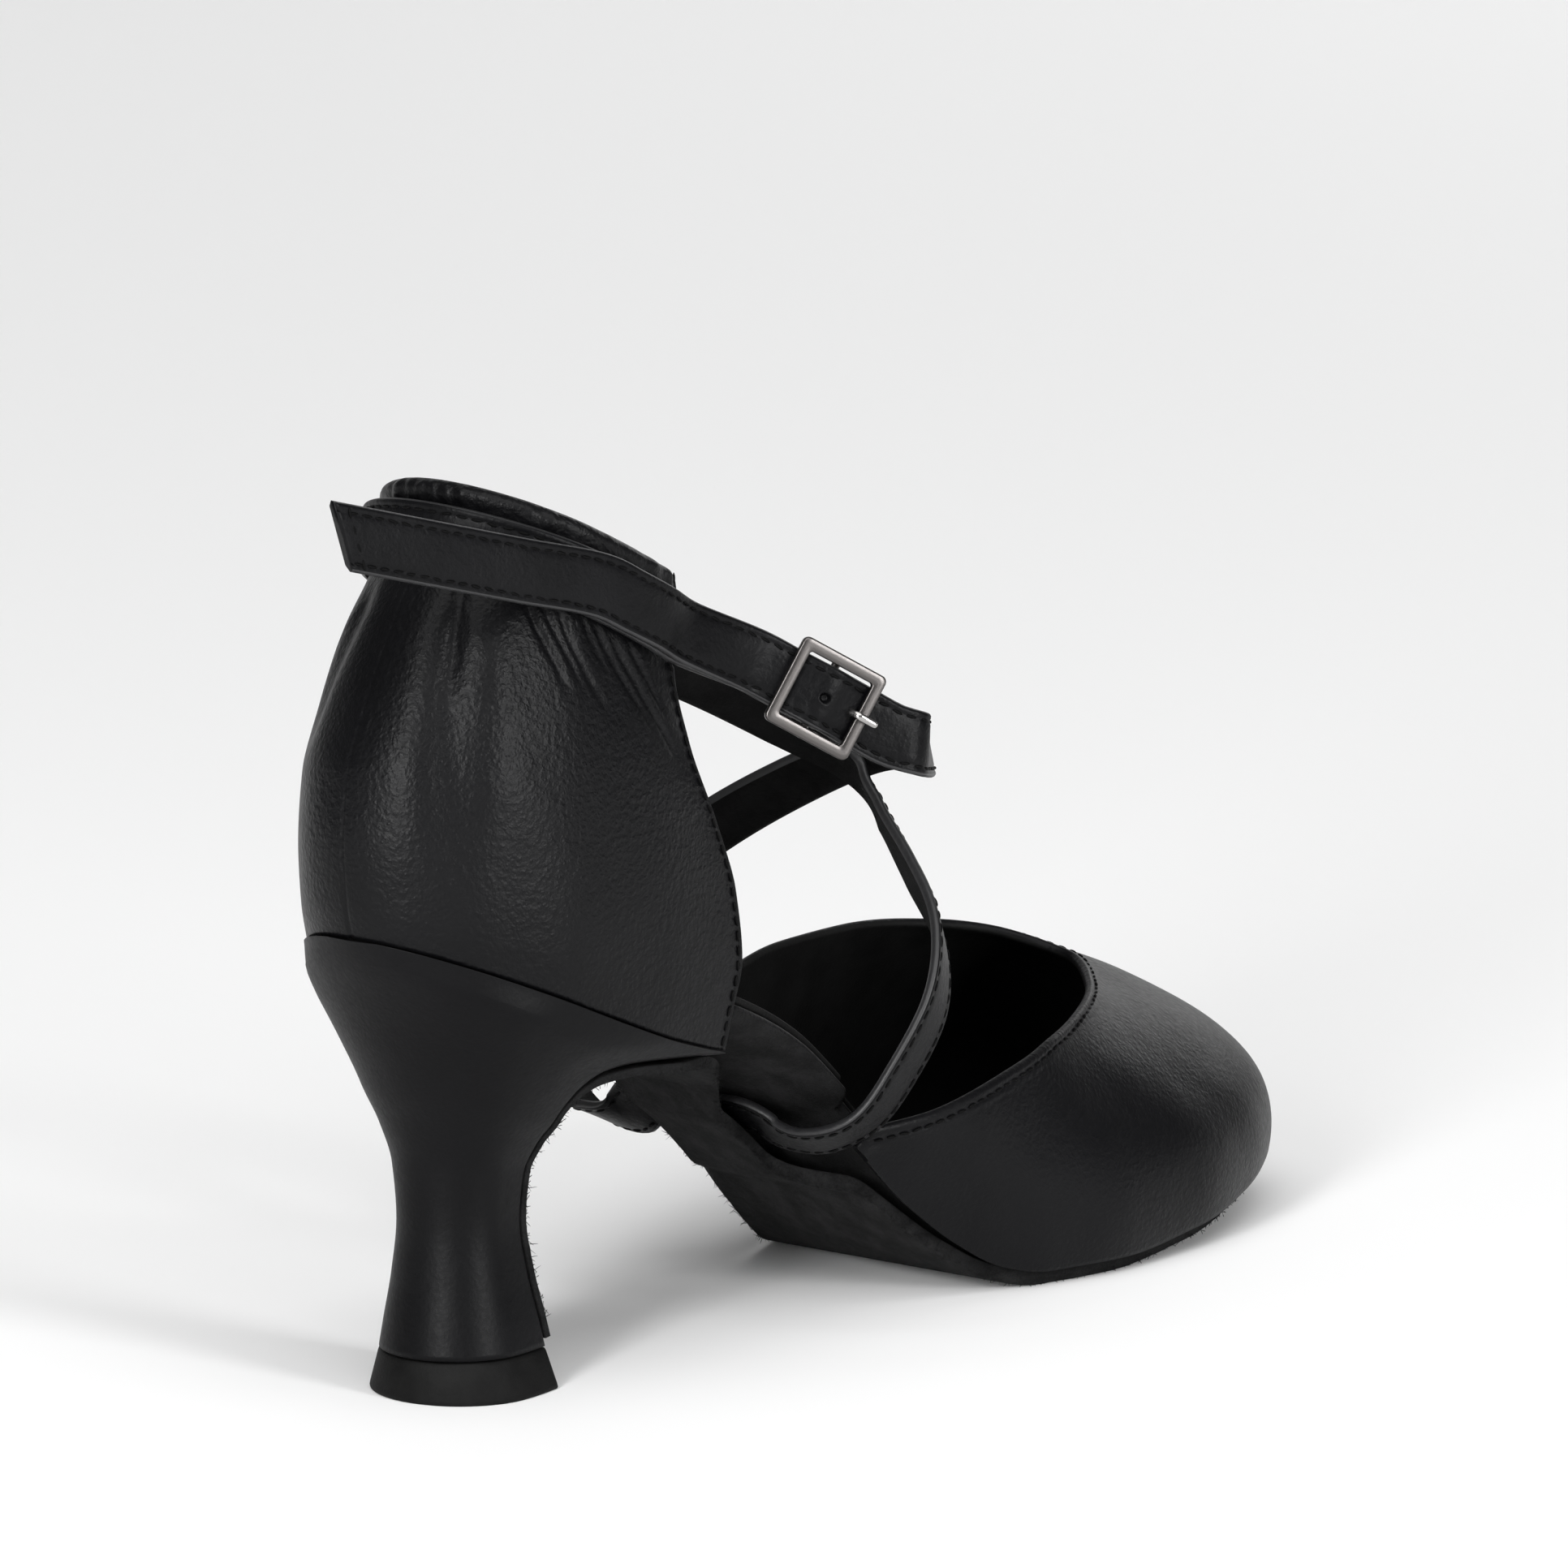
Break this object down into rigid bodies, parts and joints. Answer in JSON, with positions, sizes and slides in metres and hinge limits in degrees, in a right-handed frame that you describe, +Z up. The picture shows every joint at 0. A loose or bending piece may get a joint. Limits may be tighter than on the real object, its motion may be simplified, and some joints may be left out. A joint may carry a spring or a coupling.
{
  "type": "dance shoe",
  "caption": "Black leather dance court shoe with a closed toe, tall heel cup, open waist, crossing buckled ankle strap and flared heel.",
  "frame": {"origin": "centre of the top lift's flat underside, on the floor", "axes": "+X along the floor to the toe, +Y to the inner side of the foot, +Z up"},
  "size_m": [0.2368, 0.0851, 0.1461],
  "materials": {
    "leather": "black nappa, fine grain, half gloss",
    "lining": "black lining leather, matt",
    "rubber": "black rubber, matt",
    "suede": "black suede with a short nap",
    "gunmetal": "grey metal, lightly brushed"
  },
  "bodies": {
    "root": {"vamp": "leather", "heel_cup": "leather", "insole_board": "leather", "insole_sock": "lining", "heel": "leather", "top_lift": "rubber", "outsole": "suede", "strap": "leather", "buckle_frame": "gunmetal", "buckle_prong": "gunmetal"}
  },
  "joints": []
}
